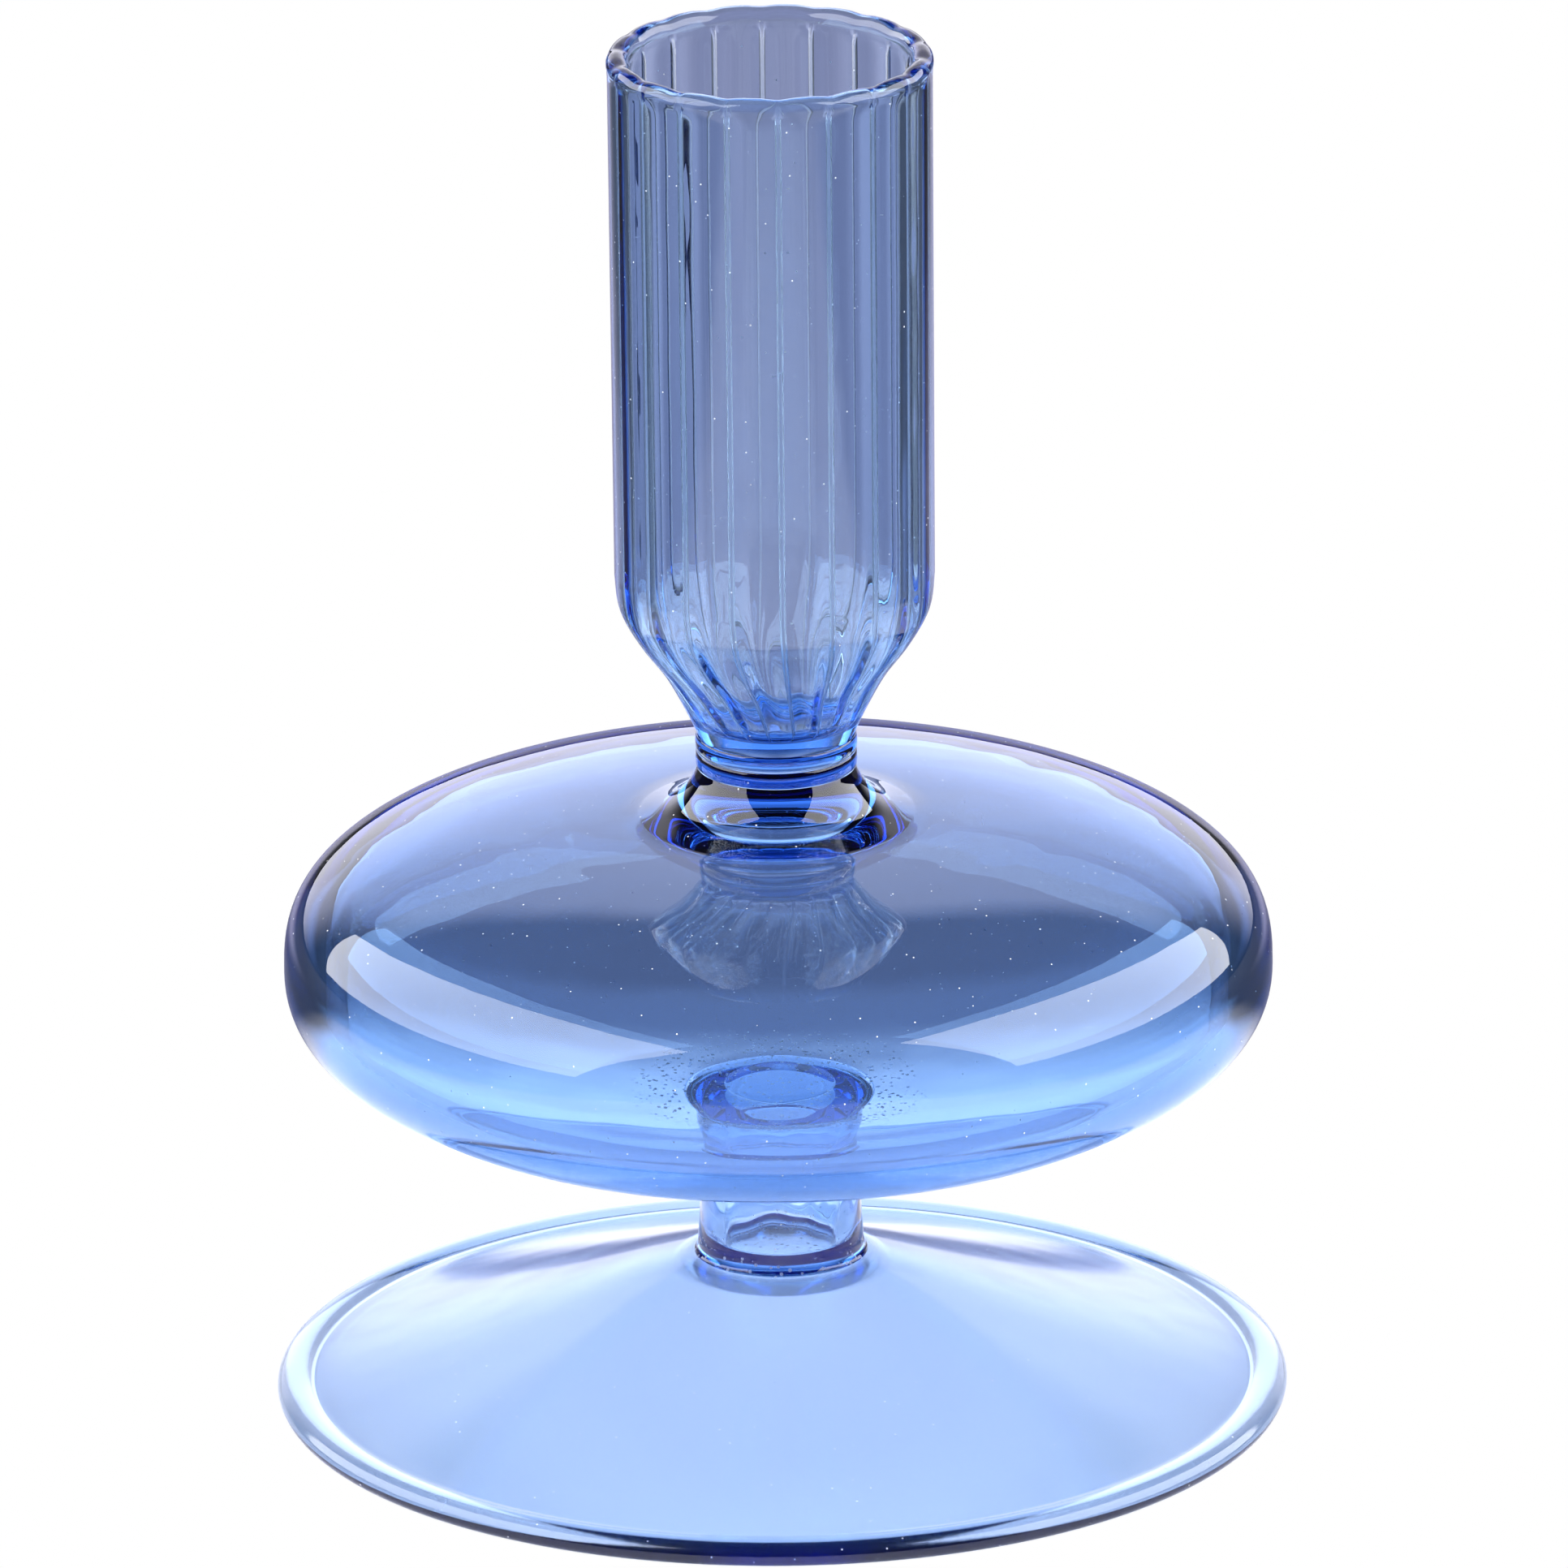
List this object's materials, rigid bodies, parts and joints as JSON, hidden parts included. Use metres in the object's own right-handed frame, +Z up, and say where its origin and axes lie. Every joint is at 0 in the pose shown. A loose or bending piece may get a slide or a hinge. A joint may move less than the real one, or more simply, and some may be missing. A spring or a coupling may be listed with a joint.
{
  "type": "glass bud vase",
  "caption": "Small glass bud vase: a tall ribbed cup on a flattened hollow bubble, short hollow stem and wide domed foot with a rolled edge.",
  "frame": {"origin": "centre of the circle that the foot rests on", "axes": "+Z up along the vase's axis of turning; the other two are free, as the vase is round"},
  "size_m": [0.09, 0.09, 0.1252],
  "materials": {
    "foot_glass": "clear light blue borosilicate, fire-polished",
    "weld_glass": "clear blue borosilicate, melted",
    "bubble_glass": "clear blue-violet borosilicate, blown",
    "cup_glass": "clear blue-violet borosilicate, ribbed tube"
  },
  "bodies": {
    "root": {"foot": "foot_glass", "foot_weld": "weld_glass", "stem": "foot_glass", "stem_weld": "weld_glass", "bubble": "bubble_glass", "neck_weld": "weld_glass", "ribbed_cup": "cup_glass"}
  },
  "joints": []
}
